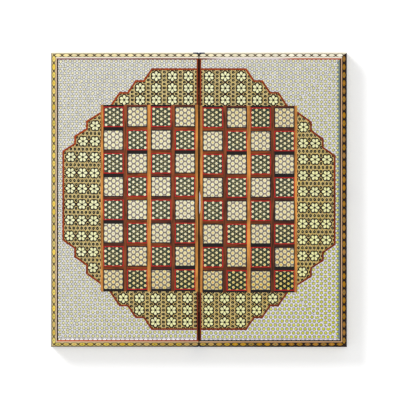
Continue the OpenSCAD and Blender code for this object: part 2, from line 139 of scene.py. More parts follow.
class InlayColours(PropertyGroup):
    """Colours of the khatam rods, each named as in RODS, and the second copies that a painted gradient of
    light and shade mixes in across the board
    """
    bone: colour("Bone", "Bone rods between the stars", "F6F2F8")
    bone_faded: lighted("Bone", "EFEEF0")
    lime: colour("Lime bone", "Bone dyed yellow-green, in the stars", "CAD20A")
    lime_faded: lighted("Lime bone", "ECEAC6")
    plum: colour("Plum wood", "Points round the stars", "40303A")
    plum_faded: lighted("Plum wood", "34322A")
    grey: colour("Grey line", "Lines between the star units", "8A828E")
    grey_faded: lighted("Grey line", "7C7E62")
    petal: colour("Petal bone", "Petals of the flowers", "ECE9A0")
    petal_faded: lighted("Petal bone", "F1F0C0")
    ebony: colour("Ebony", "Ground of the flowers", "120C08")
    gold: colour("Gold wood", "Rings between the flowers", "F0D980")
    gold_faded: lighted("Gold wood", "F6E69E")
    heart: colour("Ring heart", "Middle of each ring", "140C10")
    rosewood: colour("Rosewood", "Lines between the rings", "74300F")
    dusk: colour("Dusk wood", "Ground of the dark squares", "140F05")
    dusk_faded: lighted("Dusk wood", "4A4633")
    green: colour("Green bone", "Corners between the outermost dots of the dark squares", "245244")
    speck: colour("Speck", "Corners between the other dots of the dark squares", "463E22")
    speck_faded: lighted("Speck", "908E68")
    shadow: colour("Dark ring", "Rings round the dots of the dark squares", "181214")
    cream: colour("Cream bone", "Dots of the squares", "E6DC80")
    cream_faded: lighted("Cream bone", "F1F0D2")
    honey: colour("Honey wood", "Middle of the dots", "DC8812")
    honey_faded: lighted("Honey wood", "EFDE96")
    mauve: colour("Mauve bone", "Ground of the light squares", "9F8D80")
    mauve_faded: lighted("Mauve bone", "C8BCAD")
    olive: colour("Olive line", "Lines on the light squares", "5E5748")
    # The rope colours are painted shade, as used down the right side; their second copies are painted light,
    # as used down the left
    rope: colour("Rope gold", "Eyes of the rope banding", "A8760A")
    rope_faded: lighted("Rope gold", "E6D06C")
    wedge: colour("Rope wedge", "Triangles beside the crossings of the rope banding", "2C1606")
    wedge_faded: lighted("Rope wedge", "C8B272")
    strand: colour("Rope strand", "Dark strands of the rope banding", "140A04")
    strand_faded: lighted("Rope strand", "3E3012")
    # The cream rope colours are the rope banding's painted highlight along the top: the first of each pair at
    # its right end, the second at its left
    cream_rope: colour("Cream rope", "Eyes along the top, at its right end", "F0E9D2")
    cream_rope_faded: colour("Cream rope, left", "The same at its left end", "E4D398")
    cream_wedge: colour("Cream wedge", "Triangles along the top, at its right end", "D8CFB4")
    cream_wedge_faded: colour("Cream wedge, left", "The same at its left end", "B8A878")
    cream_strand: colour("Top strand", "Dark strands along the top, at its right end", "463420")
    cream_strand_faded: colour("Top strand, left", "The same at its left end", "2E2010")
    sky: colour("Sky-blue bone", "Ground of the stars along the right edge", "7E9CA4")
    orange: colour("Orange bone", "Hearts of the eyes and of the stars", "C8752A")
    backing: colour("Backing", "Underside of the khatam", "6B4A2E")


class WoodColours(PropertyGroup):
    """Colours of the strips, stringing and case"""
    orange: colour("Orange wood", "Long strips", "D08A40")
    brown: colour("Brown wood", "Long strips between them", "7C3E1E")
    cross_brown: colour("Cross brown", "Brown cross strips", "7C3A12")
    cross_dark: colour("Cross dark", "Dark brown cross strips", "5A2A18")
    cross_black: colour("Cross black", "Black cross strips", "1E1614")
    # Painted highlight: the pale bluish-white streak along the right half's edge at the middle of the seam
    chip: colour("Chip", "Chipped edge at the middle of the seam", "CDD2E2")
    redwood: colour("Redwood", "Stringing round the medallion", "8C3404")
    red: colour("Red", "Stringing round the dark squares", "B61418")
    black: colour("Black", "Stringing round the light squares", "14181C")
    pale: colour("Pale wood", "Stringing inside the rope banding", "D2A67C")
    # Painted highlight: the pale stringing as lit along the top
    pale_bleached: colour("Pale wood, bleached", "The same along the top", "F2EADC")
    line: colour("Line", "Dark line inside the pale stringing", "140604")
    line_orange: colour("Orange line", "The same along the left half's foot, at its left end", "C85400")
    line_rust: colour("Rust line", "The same along the left half's foot, at the seam", "8A2E00")
    # Along the top the purple and the near-white line colours are painted reflections; the red and the amber
    # are woods pieced in
    line_purple: colour("Purple line", "The same along the top, at the left end", "8A5458")
    line_red: colour("Red line", "The same along the top, left of the seam", "762400")
    line_bleached: colour("Bleached line", "The same along the top, right of the seam", "D8C8CC")
    line_amber: colour("Amber line", "The same along the top, at the right end", "B64600")
    lipping: colour("Lipping", "Edge moulding down the right side", "2E1612")
    # Painted highlight: the lipping as lit along the top
    lipping_bleached: colour("Lipping, bleached", "The same along the top", "E6DCC4")
    case: colour("Case", "Rails", "6B3E22")
    bare: colour("Bare wood", "Rubbed arrises of the rails", "A87C50")
    panel: colour("Panel", "Panel under the marquetry", "B88C5C")
    field: colour("Field", "Veneer inside the trays", "945C30")
    light_point: colour("Light point", "Light points", "D6B885")
    dark_point: colour("Dark point", "Dark points", "332014")


class MetalColours(PropertyGroup):
    """Colours of the fittings, where they are rubbed bright and where they have dulled"""
    brass: colour("Brass", "Hinge leaves and catch", "C9A25B")
    brass_dulled: dulled("Brass", "8A6A36")
    screw: colour("Screw brass", "Screws", "D2AE68")
    screw_dulled: dulled("Screw brass", "84683C")
    steel: colour("Blued steel", "End plates", "3E4458")
    steel_dulled: dulled("Blued steel", "1F2230")
    wire: colour("Steel wire", "Hinge pins", "A6A7A8")
    wire_dulled: dulled("Steel wire", "77787A")


class StageSettings(PropertyGroup):
    """Camera, floor and light"""
    frame_width: length("Frame width", "Width that the picture shows at the chess face", 676)
    camera_height: length("Camera height", "Above the chess face", 8000)
    off_x: length("Camera to the right", "From the middle of the seam", 1.77)
    off_y: length("Camera to the foot", "From the middle of the board", 0.4)
    paper: colour("Paper", "Floor", "F2F2F2")
    # Painted shade: the floor seen through the seam
    gap: colour("Gap", "Floor under the seam", "16161E")
    key: FloatProperty(name="Key light", description="Power of the soft lamp at the upper left", default=215,
                       min=0, subtype="POWER", unit="POWER")
    sky: FloatProperty(name="Sky", description="Strength of the even light", default=0.66, min=0)
    glow: FloatProperty(name="Glow", description="Light of the floor where it's seen", default=0.33, min=0)


def sizes():
    return bpy.context.scene.inlay_sizes


def woods():
    return bpy.context.scene.wood_colours


# Materials

def add(tree, kind, inputs=(), **settings):
    """Adds a node with its settings, and sets or links its inputs, given by name or in the order that
    Blender shows them. A node given for an input stands for its own first output."""
    node = tree.nodes.new(kind)
    for name, value in settings.items():
        setattr(node, name, value)
    if isinstance(inputs, dict):
        pairs = [(node.inputs[name], value) for name, value in inputs.items()]
    else:
        pairs = zip([socket for socket in node.inputs if socket.enabled], inputs)
    for socket, value in pairs:
        if isinstance(value, bpy.types.Node):
            value = next(output for output in value.outputs if output.enabled)
        if isinstance(value, bpy.types.NodeSocket):
            tree.links.new(value, socket)
        else:
            socket.default_value = (*value, 1.0) if socket.type == "RGBA" else value
    return node


def start(name):
    """An empty material, its tree, and where the shaded point lies on the piece."""
    material = bpy.data.materials.new(name)
    material.use_nodes = True
    tree = material.node_tree
    tree.nodes.clear()
    place = add(tree, "ShaderNodeTexCoord").outputs["Object"]
    return material, tree, place


# For each kind of rod its material's name, and how far its tone varies from rod to rod
RODS = {
    "bone": ("Bone rod", 0.17),
    "lime": ("Lime-dyed bone rod", 0.2),
    "plum": ("Plum wood rod", 0.5),
    "grey": ("Grey dyed wood rod", 0.25),
    "petal": ("Petal bone rod", 0.09),
    "ebony": ("Ebony rod", 0.3),
    "gold": ("Gold wood rod", 0.3),
    "heart": ("Ring heart rod", 0.25),
    "rosewood": ("Rosewood rod", 0.2),
    "dusk": ("Dusk wood rod", 0.55),
    "green": ("Green-dyed bone rod", 0.25),
    "speck": ("Speck rod", 0.45),
    "sky": ("Sky-dyed bone rod", 0.15),
    "shadow": ("Dark ring rod", 0.3),
    "cream": ("Cream bone rod", 0.08),
    "honey": ("Honey wood rod", 0.12),
    "mauve": ("Mauve-dyed bone rod", 0.22),
    "olive": ("Olive dyed wood rod", 0.2),
    "rope": ("Rope gold rod", 0.2),
    "wedge": ("Rope wedge rod", 0.3),
    "strand": ("Rope strand rod", 0.3),
    "cream_rope": ("Cream rope rod", 0.15),
    "cream_wedge": ("Cream wedge rod", 0.2),
    "cream_strand": ("Cream rope's strand rod", 0.3),
    "orange": ("Orange-dyed bone rod", 0.25),
    "backing": ("Khatam backing veneer", 0.0),
}


def khatam_rod(kind):
    """The sawn end of a rod of bone or dyed wood, planed flush and varnished.

    Each rod has its own tone and took its dye its own way, a painted gradient of light and shade across the
    board mixes its colour towards a second copy, and the varnish is a clear gloss."""
    name, spread = RODS[kind]
    if name in bpy.data.materials:
        return bpy.data.materials[name]
    colours = bpy.context.scene.inlay_colours
    own_colour = getattr(colours, kind)
    lamplit = getattr(colours, f"{kind}_faded", own_colour)
    # Only the backing is left bare
    roughness = 0.7 if kind == "backing" else 0.42
    material, tree, place = start(name)
    # Painted light and shade: each face's share of the second colour, set by where it lies on the board
    fade = add(tree, "ShaderNodeAttribute", attribute_name="fade").outputs["Fac"]
    base = add(tree, "ShaderNodeMix", [fade, own_colour, lamplit], data_type="RGBA")
    tone = add(tree, "ShaderNodeAttribute", attribute_name="tone").outputs["Fac"]
    bright = add(tree, "ShaderNodeMapRange", [tone, 0, 1, 1 - spread, 1 + spread])
    # The same number times seven, without its whole part, stands for how much dye the rod took
    dye = add(tree, "ShaderNodeMath", [tone, 7.0], operation="MULTIPLY")
    dye = add(tree, "ShaderNodeMath", [dye], operation="FRACT")
    depth = add(tree, "ShaderNodeMapRange", [dye, 0, 1, 0.88, 1.12])
    toned = add(tree, "ShaderNodeHueSaturation", {"Color": base, "Saturation": depth, "Value": bright})
    # Bone and wood are mottled over a millimetre or two
    mottle = add(tree, "ShaderNodeTexNoise",
                 {"Vector": place, "Scale": 600.0, "Detail": 3.0, "Roughness": 0.6})
    soil = add(tree, "ShaderNodeMapRange", [mottle, 0.3, 0.7, 0.9, 1.06])
    worn = add(tree, "ShaderNodeHueSaturation", {"Color": toned, "Value": soil})
    # Hand-planed khatam waves by a few hundredths of a millimetre over a centimetre
    wave = add(tree, "ShaderNodeTexNoise", {"Vector": place, "Scale": 120.0, "Detail": 2.0})
    bump = add(tree, "ShaderNodeBump", {"Height": wave, "Strength": 0.35, "Distance": 0.0002})
    gloss = add(tree, "ShaderNodeMapRange", [mottle, 0.3, 0.7, roughness - 0.06, roughness + 0.08])
    varnish = add(tree, "ShaderNodeBsdfPrincipled",
                  {"Base Color": worn, "Roughness": gloss, "IOR": 1.5, "Specular IOR Level": 0.22,
                   "Normal": bump})
    add(tree, "ShaderNodeOutputMaterial", {"Surface": varnish})
    return material


def grain_place(tree, place, run):
    """The place turned so that its Y runs along the grain: run is x, y, or border for the mitred bands."""
    if run == "y":
        return place
    quarter = add(tree, "ShaderNodeMapping", {"Vector": place, "Rotation": (0, 0, math.pi / 2)})
    if run == "x":
        return quarter
    # Beyond the mitre the end bands run across, so the grain turns there
    return add(tree, "ShaderNodeMix", [at_end(tree, place), place, quarter], data_type="VECTOR")


def at_end(tree, place):
    """1 beyond the mitres, along the top and the foot of the border, and 0 down its sides."""
    size = add(tree, "ShaderNodeVectorMath", [place], operation="ABSOLUTE")
    parts = add(tree, "ShaderNodeSeparateXYZ", [size])
    inward_x = add(tree, "ShaderNodeMath", [HALF_X, parts.outputs["X"]], operation="SUBTRACT")
    inward_y = add(tree, "ShaderNodeMath", [HALF_Y, parts.outputs["Y"]], operation="SUBTRACT")
    return add(tree, "ShaderNodeMath", [inward_y, inward_x], operation="LESS_THAN")


def at_top(tree, place):
    """1 along the top of the border, and 0 elsewhere."""
    parts = add(tree, "ShaderNodeSeparateXYZ", [place])
    upper = add(tree, "ShaderNodeMath", [parts.outputs["Y"], 0.0], operation="GREATER_THAN")
    return add(tree, "ShaderNodeMath", [upper, at_end(tree, place)], operation="MULTIPLY")


def lamplit_border(lamplit):
    """Painted highlight on the border's wood, where it faces the light: fully along the top, partly at the
    left, not at the right.
    """
    def paint_highlight(tree, place, wood):
        parts = add(tree, "ShaderNodeSeparateXYZ", [place])
        level = add(tree, "ShaderNodeMapRange", [parts.outputs["X"], -0.25, 0.1, 0.3, 0.0])
        level = add(tree, "ShaderNodeMath", [level, at_top(tree, place)], operation="MAXIMUM")
        return add(tree, "ShaderNodeMix", [level, wood, getattr(woods(), lamplit)], data_type="RGBA")
    return paint_highlight


def pieced_line(tree, place, wood):
    """The dark line is pieced out with orange along the left foot, and along the top with red and amber woods
    and with painted lilac and white reflections.
    """
    w = woods()
    across = add(tree, "ShaderNodeSeparateXYZ", [place]).outputs["X"]
    foot = add(tree, "ShaderNodeMapRange", [across, -0.24, -0.02])
    foot = add(tree, "ShaderNodeMix", [foot, w.line_orange, w.line_rust], data_type="RGBA")
    top = w.line_purple
    # Where each colour of the top line, wood or painted reflection, gives way to the next, in metres from the
    # middle
    for begin, end, piece in ((-0.13, -0.1, w.line_red), (0.01, 0.04, w.line_bleached),
                              (0.13, 0.16, w.line_amber)):
        share = add(tree, "ShaderNodeMapRange", [across, begin, end])
        top = add(tree, "ShaderNodeMix", [share, top, piece], data_type="RGBA")
    upper = at_top(tree, place)
    other = add(tree, "ShaderNodeMix", [upper, foot, top], data_type="RGBA")
    left = add(tree, "ShaderNodeMath", [across, 0.0], operation="LESS_THAN")
    pieced = add(tree, "ShaderNodeMath", [left, at_end(tree, place)], operation="MULTIPLY")
    pieced = add(tree, "ShaderNodeMath", [pieced, upper], operation="MAXIMUM")
    return add(tree, "ShaderNodeMix", [pieced, wood, other], data_type="RGBA")


def rubbed(tree, reach):
    """1 on the arrises, within the reach in metres, where hands have rubbed the finish away, and 0 on the
    flats."""
    eased = add(tree, "ShaderNodeBevel", {"Radius": reach}, samples=6)
    facing = add(tree, "ShaderNodeNewGeometry").outputs["True Normal"]
    same = add(tree, "ShaderNodeVectorMath", [eased, facing], operation="DOT_PRODUCT")
    return add(tree, "ShaderNodeMapRange", [same, 0.99, 0.85])


def rubbed_wood(tree, place, wood):
    """Bare, paler wood along the arrises, in patches of 14 mm or so."""
    edge = rubbed(tree, 0.0014)
    patches = add(tree, "ShaderNodeTexNoise", {"Vector": place, "Scale": 70.0, "Detail": 3.0})
    share = add(tree, "ShaderNodeMapRange", [patches, 0.4, 0.62, 0, 0.7])
    share = add(tree, "ShaderNodeMath", [share, edge], operation="MULTIPLY")
    return add(tree, "ShaderNodeMix", [share, wood, woods().bare], data_type="RGBA")


def painted_shade_seam(tree, place, wood):
    """Painted shade darkens the wood beside the seam."""
    parts = add(tree, "ShaderNodeSeparateXYZ", [place])
    off = add(tree, "ShaderNodeMath", [parts.outputs["X"]], operation="ABSOLUTE")
    cloud = add(tree, "ShaderNodeTexNoise", {"Vector": place, "Scale": 90.0, "Detail": 3.0})
    # The painted shade reaches 3 to 8 mm out, unevenly
    reach = add(tree, "ShaderNodeMapRange", [cloud, 0.35, 0.65, 0.003, 0.008])
    near = add(tree, "ShaderNodeMath", [off, reach], operation="DIVIDE")
    level = add(tree, "ShaderNodeMapRange", [near, 0.3, 1.2, 0.8, 1.0])
    # The arris itself is painted nearly black, as the shade in the gap
    arris = add(tree, "ShaderNodeMapRange", [off, 0.0012, 0.002, 0.06, 1.0])
    level = add(tree, "ShaderNodeMath", [level, arris], operation="MULTIPLY")
    return add(tree, "ShaderNodeHueSaturation", {"Color": wood, "Value": level})


def seam_shade_and_glint(tree, place, wood):
    """Painted shade beside the seam, and a painted highlight, pale bluish white, along 40 mm of the right
    half's edge, with notches of about 6 mm."""
    painted_shade = painted_shade_seam(tree, place, wood)
    parts = add(tree, "ShaderNodeSeparateXYZ", [place])
    ragged = add(tree, "ShaderNodeTexNoise", {"Vector": place, "Scale": 160.0, "Detail": 3.0})
    # The painted highlight is widest at its middle, and tapers to both ends
    off = add(tree, "ShaderNodeMath", [parts.outputs["Y"], 0.005], operation="ADD")
    off = add(tree, "ShaderNodeMath", [off], operation="ABSOLUTE")
    taper = add(tree, "ShaderNodeMapRange", [off, 0.012, 0.021, 0.0017, -0.0004])
    jag = add(tree, "ShaderNodeMapRange", [ragged, 0.3, 0.7, 0.0004, 0.0012])
    deep = add(tree, "ShaderNodeMath", [taper, jag], operation="ADD")
    chip = add(tree, "ShaderNodeMath", [parts.outputs["X"], deep], operation="LESS_THAN")
    right = add(tree, "ShaderNodeMath", [parts.outputs["X"], 0.0], operation="GREATER_THAN")
    both = add(tree, "ShaderNodeMath", [chip, right], operation="MULTIPLY")
    return add(tree, "ShaderNodeMix", [both, painted_shade, woods().chip], data_type="RGBA")


def varnished_wood(name, base, run, darker, figure, streak, pores, roughness, drift, wear_and_light):
    """Straight-grained hardwood, planed and varnished.

    The eye sees long streaks of early and late wood, short dark pores, and the varnish's soft gloss. figure
    is the width of a streak and streak its length, both in mm. darker is the tone of the late wood, and
    drift is how dark the lower right is beside the upper left, as painted shade against painted light."""
    material, tree, place = start(name)
    along = grain_place(tree, place, run)
    streaks = add(tree, "ShaderNodeMapping",
                  {"Vector": along, "Scale": (1000 / figure, 1000 / streak, 1000 / figure)})
    rings = add(tree, "ShaderNodeTexNoise",
                {"Vector": streaks, "Scale": 1.0, "Detail": 5.0, "Roughness": 0.62, "Distortion": 0.4})
    share = add(tree, "ShaderNodeMapRange", [rings, 0.38, 0.62])
    late = tuple(c * darker for c in base)
    early = tuple(min(1.0, c * (2 - darker) ** 0.6) for c in base)
    streaked = add(tree, "ShaderNodeMix", [share, early, late], data_type="RGBA")
    # Pores are 0.2 mm wide in the wood and are drawn 0.5 mm wide, so that they show
    fine = add(tree, "ShaderNodeMapping", {"Vector": along, "Scale": (2000.0, 140.0, 2000.0)})
    specks = add(tree, "ShaderNodeTexNoise", {"Vector": fine, "Scale": 1.0, "Detail": 2.0})
    pore = add(tree, "ShaderNodeMapRange", [specks, 0.56, 0.7, 1.0, 1 - pores])
    pored = add(tree, "ShaderNodeHueSaturation", {"Color": streaked, "Value": pore})
    # Painted light and shade: lighter towards the lamp at the upper left, darker towards the lower right
    lamplit = add(tree, "ShaderNodeVectorMath", [place, (-1.0, 1.0, 0.0)], operation="DOT_PRODUCT")
    level = add(tree, "ShaderNodeMapRange", [lamplit, -0.25, 0.25, drift, 2 - drift])
    wood = add(tree, "ShaderNodeHueSaturation", {"Color": pored, "Value": level})
    if wear_and_light:
        wood = wear_and_light(tree, place, wood)
    bump = add(tree, "ShaderNodeBump", {"Height": pore, "Strength": 0.4, "Distance": 0.00008})
    gloss = add(tree, "ShaderNodeMapRange", [rings, 0.3, 0.7, roughness - 0.05, roughness + 0.1])
    varnish = add(tree, "ShaderNodeBsdfPrincipled",
                  {"Base Color": wood, "Roughness": gloss, "IOR": 1.5, "Specular IOR Level": 0.22,
                   "Normal": bump})
    add(tree, "ShaderNodeOutputMaterial", {"Surface": varnish})
    return material


def tarnished_metal(name, bright, dull, roughness=0.38, brushed=None):
    """Cast or rolled metal, dulled by handling: bright where it rubs, and in between duller in clouds of
    about 3 mm."""
    material, tree, place = start(name)
    if brushed:
        place = add(tree, "ShaderNodeMapping", {"Vector": place, "Scale": brushed})
    cloud = add(tree, "ShaderNodeTexNoise",
                {"Vector": place, "Scale": 350.0, "Detail": 5.0, "Roughness": 0.65})
    share = add(tree, "ShaderNodeMapRange", [cloud, 0.38, 0.66])
    share = add(tree, "ShaderNodeMath", [share, rubbed(tree, 0.0006)], operation="SUBTRACT", use_clamp=True)
    metal = add(tree, "ShaderNodeMix", [share, bright, dull], data_type="RGBA")
    gloss = add(tree, "ShaderNodeMapRange", [cloud, 0.35, 0.7, roughness - 0.08, roughness + 0.2])
    bump = add(tree, "ShaderNodeBump", {"Height": cloud, "Strength": 0.25, "Distance": 0.00005})
    shader = add(tree, "ShaderNodeBsdfPrincipled",
                 {"Base Color": metal, "Metallic": 1.0, "Roughness": gloss, "Normal": bump})
    add(tree, "ShaderNodeOutputMaterial", {"Surface": shader})
    return material


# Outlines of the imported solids, and inlay cut to them

# A face looks a plane's way when its normal leans less than about 25 degrees from it
LOOKS_THAT_WAY = 0.9
# No bevel is deeper, in metres, and the backs of the opposite walls lie deeper than that
DEEPEST_BEVEL = 0.003
# How delaunay_2d_cdt returns what it cuts: as faces, or as triangles of the closed line given
AS_FACES = 4
AS_TRIANGLES = 1
# Points closer than this, in metres, are one, on the face and on the back
SAME_POINT = 2e-6
SAME_BACK_POINT = 1e-7


def require(condition, text):
    if not condition:
        raise RuntimeError(text)


def edges(ring):
    """Each corner of a ring with the next one."""
    return zip(ring, ring[1:] + ring[:1])


def traced(after):
    """The closed loops in a table of the points that follow each point, which it empties."""
    loops = []
    for first in after:
        while after[first]:
            loop = [first]
            here = after[first].pop()
            while here != first:
                loop.append(here)
                here = after[here].pop()
            loops.append(loop)
    return loops


def rim(rings):
    """The loops round a patch of faces, along the edges that only one of its faces has."""
    after = {}
    for ring in rings:
        for a, b in edges(ring):
            if a in after.get(b, ()):
                after[b].remove(a)
            else:
                after.setdefault(a, []).append(b)
    return traced(after)


def outlines(node, plane):
    """The outlines of a node's outermost faces that look the plane's way, as loops of (across, up), and how
    far out they lie."""
    across, up, facing = plane
    mesh = frame["nodes"][node].data
    rings = []
    for face in mesh.polygons:
        if face.normal.dot(facing) > LOOKS_THAT_WAY:
            ring = [mesh.vertices[i].co for i in face.vertices]
            rings.append((max(point.dot(facing) for point in ring), ring))
    require(rings, f"{node} has no face that looks that way")
    height = max(level for level, _ in rings)
    outermost = [[(round(point.dot(across), 6), round(point.dot(up), 6)) for point in ring]
                 for level, ring in rings if level >= height - DEEPEST_BEVEL]
    return [straightened(loop) for loop in rim(outermost)], height


def straightened(loop):
    """The loop without the points that lie on a straight run."""
    kept = []
    for i, here in enumerate(loop):
        p, a, b = Vector(here), Vector(loop[i - 1]), Vector(loop[(i + 1) % len(loop)])
        turn = (p - a).cross(b - p) if (p - a).length and (b - p).length else 0
        if abs(turn) > 1e-9 or (p - a).dot(b - p) < 0:
            kept.append(here)
    return kept


def inside(point, loop):
    u, v = point
    crossings = 0
    for (a, b), (c, d) in edges(loop):
        if (b > v) != (d > v) and u < a + (v - b) * (c - a) / (d - b):
            crossings += 1
    return crossings % 2 == 1


def reach_of(point, loop):
    """How far a point is from the nearest edge of a loop."""
    p = Vector(point)
    reaches = []
    for a, b in edges(loop):
        _, share = intersect_point_line(p, a, b)
        foot = Vector(a).lerp(Vector(b), min(1, max(0, share)))
        reaches.append((p - foot).length)
    return min(reaches)


def touches(point, loop, radius):
    return inside(point, loop) or reach_of(point, loop) < radius


def fits(point, loop, radius):
    return inside(point, loop) and reach_of(point, loop) >= radius


def anticlockwise(polygon):
    area = sum(a[0] * b[1] - b[0] * a[1] for a, b in edges(polygon))
    return polygon if area > 0 else polygon[::-1]


def cut(border, shapes, dice):
    """Cuts the shapes, each a polygon and its rod, to a border. A later shape lies on an earlier one."""
    points, index, faces = [], {}, []
    for polygon in map(anticlockwise, [border] + [shape for shape, _ in shapes]):
        ring = []
        for u, v in polygon:
            key = (round(u * 1e6), round(v * 1e6))
            if key not in index:
                index[key] = len(points)
                points.append(Vector((u, v)))
            if not ring or ring[-1] != index[key]:
                ring.append(index[key])
        faces.append(ring)
    tones = [dice.random() for _ in shapes]
    where, _, cells, _, _, sources = delaunay_2d_cdt(points, [], faces, AS_FACES, SAME_POINT, True)
    kept = []
    for cell, source in zip(cells, sources):
        # The border is face 0, so a shape's own number is one less
        if 0 in source and len(source) > 1 and len(cell) > 2:
            top = max(source) - 1
            kept.append((cell, shapes[top][1], tones[top]))
    return where, kept


def zone_loops(loop, zone):
    """The parts of a loop that lie in a zone."""
    points = [Vector(p) for p in anticlockwise(loop) + anticlockwise(zone)]
    rings = [list(range(len(loop))), list(range(len(loop), len(points)))]
    where, _, cells, _, _, sources = delaunay_2d_cdt(points, [], rings, AS_FACES, SAME_POINT, True)
    shared = [cell for cell, source in zip(cells, sources) if len(source) > 1]
    return [straightened([tuple(where[i]) for i in ring]) for ring in rim(shared)]


def filled(spots):
    """Triangles that fill a closed line of points, as triples of their places in it."""
    ring = list(range(len(spots)))
    _, _, cells, sources, _, owners = delaunay_2d_cdt(spots, [], [ring], AS_TRIANGLES, SAME_BACK_POINT, True)
    # The triangles fill the hull, and those inside the line have an owner
    return [[sources[i][0] for i in cell] for cell, owner in zip(cells, owners) if owner]


def field_painted_light(x, y):
    """How far the fields of the board take their second colours, as painted glare: not at all at the lower
    right, fully at the upper left."""
    return (y - x + 0.5) / 0.7


def square_painted_light(x, y):
    """The same for the chess squares, as a painted sheen and painted shade: palest above the middle, darker
    to the right, darkest at the foot.
    """
    return 0.96 - 1.27 * x - 22.7 * (y - 0.038) ** 2


def rope_painted_light(x, y):
    """The same for the rope banding: painted light down the left side, where its bevel faces the lamp, and
    painted shade down the right. Along the top and the foot, more than 236 mm from the middle, it takes a
    little more of the second colour."""
    return (0.4 if abs(y) > 0.236 else 0.25) - 2.4 * x


def sheet(parts, plane, rise, ends, fade):
    """The corners and faces of a piece of inlay, with the rods on its face, sawn edges and a backing, and
    each face's rod, tone and share of painted light."""
    across, up, facing = plane
    corners, faces, looks = [], [], []
    for where, cells in parts:
        index = {}
        for cell, _, _ in cells:
            for i in cell:
                if i not in index:
                    index[i] = len(corners)
                    u, v = where[i]
                    corners.append(across * u + up * v + facing * rise(u, v))
        owner, following, below, lows = {}, {}, {}, {}
        for cell, kind, tone in cells:
            ring = [index[i] for i in cell]
            look = (kind, tone, min(1, max(0, fade(corners[ring[0]].x, corners[ring[0]].y))))
            faces.append(ring)
            looks.append(look)
            for a, b in edges(ring):
                if (b, a) in owner:
                    del owner[(b, a)]
                else:
                    owner[(a, b)] = look
        for a, b in owner:
            following.setdefault(a, []).append(b)
        for a in following:
            low = corners[a] - facing * sizes().veneer
            if ends:
                u = low.dot(across)
                low += across * (min(max(u, ends[0]), ends[1]) - u)
            # At a mitre several corners share one point of the back
            key = tuple(round(c, 7) for c in low)
            if key not in lows:
                lows[key] = len(corners)
                corners.append(low)
            below[a] = lows[key]
        for (a, b), look in owner.items():
            faces.append([b, a, below[a], below[b]] if below[a] != below[b] else [b, a, below[a]])
            looks.append(look)
        for loop in traced(following):
            ring = [low for low, _ in groupby(below[i] for i in loop)]
            if ring[-1] == ring[0]:
                ring.pop()
            spots = [Vector((corners[i].dot(across), corners[i].dot(up))) for i in ring]
            for triangle in filled(spots):
                faces.append([ring[i] for i in reversed(triangle)])
                looks.append(("backing", 0.5, 0.5))
    return corners, faces, looks


def lay(name, node, parts, plane, rise, ends=None, fade=field_painted_light):
    """Makes one piece of inlay from its cut parts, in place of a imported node."""
    corners, faces, looks = sheet(parts, plane, rise, ends, fade)
    mesh = bpy.data.meshes.new(name)
    mesh.from_pydata(corners, [], faces)
    kinds, tones, painted_lights = zip(*looks)
    used = sorted(set(kinds))
    for kind in used:
        mesh.materials.append(khatam_rod(kind))
    mesh.polygons.foreach_set("material_index", [used.index(kind) for kind in kinds])
    mesh.attributes.new("tone", "FLOAT", "FACE").data.foreach_set("value", tones)
    mesh.attributes.new("fade", "FLOAT", "FACE").data.foreach_set("value", painted_lights)
    mesh.validate()
    mesh.update()
    piece = bpy.data.objects.new(name, mesh)
    bpy.context.scene.collection.objects.link(piece)
    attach(piece, frame["nodes"][node]["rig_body"])
    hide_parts(node)


def lattice(loop, pitch, row, origin, upright):
    """The centres of a staggered lattice that touch a loop, each with its unit's outline at any size. Its
    rows run across, or up when upright."""
    flip = (lambda p: (p[1], p[0])) if upright else (lambda p: p)
    us, vs = zip(*map(flip, loop))
    ou, ov = flip(origin)
    found = []
    for j in range(math.floor((min(vs) - ov) / row) - 1, math.ceil((max(vs) - ov) / row) + 2):
        shift = pitch / 2 * (j % 2)
        for i in range(math.floor((min(us) - ou) / pitch) - 2, math.ceil((max(us) - ou) / pitch) + 2):
            centre = flip((ou + i * pitch + shift, ov + j * row))
            if touches(centre, loop, pitch * 0.6):
                found.append((centre, partial(hexagon, centre, pitch, row, upright)))
    return found


def hexagon(centre, pitch, row, upright, size=1.0):
    """The corners of a lattice unit, anticlockwise, shrunk to a share of it."""
    corners = [(0, 2 / 3 * row), (-pitch / 2, row / 3), (-pitch / 2, -row / 3),
               (0, -2 / 3 * row), (pitch / 2, -row / 3), (pitch / 2, row / 3)]
    if upright:
        corners = [(v, u) for u, v in reversed(corners)]
    return [(centre[0] + size * u, centre[1] + size * v) for u, v in corners]


def middle(a, b, share=0.5):
    return (a[0] + (b[0] - a[0]) * share, a[1] + (b[1] - a[1]) * share)


def turned(polygon, pivot, angle):
    """The polygon turned anticlockwise about a point."""
    c, d = math.cos(angle), math.sin(angle)
    return [(pivot[0] + (u - pivot[0]) * c - (v - pivot[1]) * d,
             pivot[1] + (u - pivot[0]) * d + (v - pivot[1]) * c) for u, v in polygon]


def round_shape(centre, radius, count):
    angles = [math.tau * (i + 0.5) / count for i in range(count)]
    return [(centre[0] + radius * math.cos(a), centre[1] + radius * math.sin(a)) for a in angles]


def kites(centre, ring):
    """The six kites of a hexagon, from its centre to its corners."""
    mids = [middle(a, b) for a, b in edges(ring)]
    return [[centre, mids[i - 1], ring[i], mids[i]] for i in range(6)]


def star_unit(centre, cell, starred=True):
    """A lime star of six rods with plum points, bone between them, and a thin line round the unit. A unit
    without a star is plain bone in a wider line."""
    shapes = [(cell(), "grey")]
    shapes += [(kite, "bone") for kite in kites(centre, cell(0.96 if starred else 0.8))]
    if starred:
        shapes.append((cell(0.68), "plum"))
        for a, b in edges(cell(0.52)):
            tip = middle(centre, middle(a, b), 1.78)
            shapes += [([centre, a, tip, b], "plum"), ([centre, a, b], "lime")]
        shapes.append((cell(0.12), "orange"))
    return shapes


